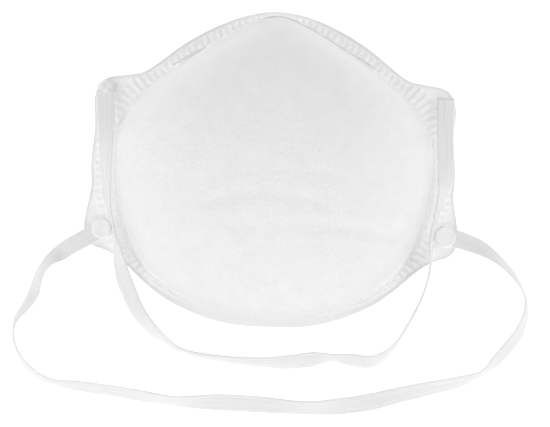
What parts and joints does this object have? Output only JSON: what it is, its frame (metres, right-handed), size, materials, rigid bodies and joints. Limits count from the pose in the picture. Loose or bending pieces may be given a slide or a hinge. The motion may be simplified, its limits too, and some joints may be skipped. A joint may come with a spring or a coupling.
{
  "type": "disposable dust mask",
  "caption": "Moulded cup dust mask with a ribbed welded rim, strap ears, a bendable nose clip and elastic headbands that swing on their welds.",
  "frame": {"origin": "on the surface the mask lies on, under the middle of its rim", "axes": "+X to the right as seen from the front with the nose up, +Y towards the nose, +Z out through the front of the cup"},
  "size_m": [0.1951, 0.1527, 0.048],
  "materials": {
    "cover": "white needled nonwoven, matte",
    "filter": "white melt-blown fibre, matte",
    "shell": "stiff thermobonded fibre, matte",
    "lining": "soft white nonwoven, matte",
    "clip": "bare rolled aluminium, satin",
    "foam": "open-cell polyurethane foam, matte",
    "band": "white ribbed elastic, matte",
    "weld": "fused nonwoven, slightly glossy"
  },
  "bodies": {
    "mask": {"outer_cover": "cover", "filter_layer": "filter", "support_shell": "shell", "inner_lining": "lining", "nose_clip": "clip", "nose_foam": "foam", "upper_headband_left_end": "band", "upper_headband_right_end": "band", "lower_headband_left_end": "band", "lower_headband_right_end": "band", "upper_left_weld": "weld", "upper_right_weld": "weld", "lower_left_weld": "weld", "lower_right_weld": "weld"},
    "upper_band": {"upper_headband": "band"},
    "lower_band": {"lower_headband": "band"}
  },
  "joints": [
    {"name": "upper_headband_swing", "type": "hinge", "parent": "mask", "child": "upper_band", "pos_m": [0, 0.026, 0.00245], "axis": [1, 0, 0], "range_deg": [-170, 0]},
    {"name": "lower_headband_swing", "type": "hinge", "parent": "mask", "child": "lower_band", "pos_m": [0, -0.0242, 0.00175], "axis": [1, 0, 0], "range_deg": [-120, 100]}
  ]
}
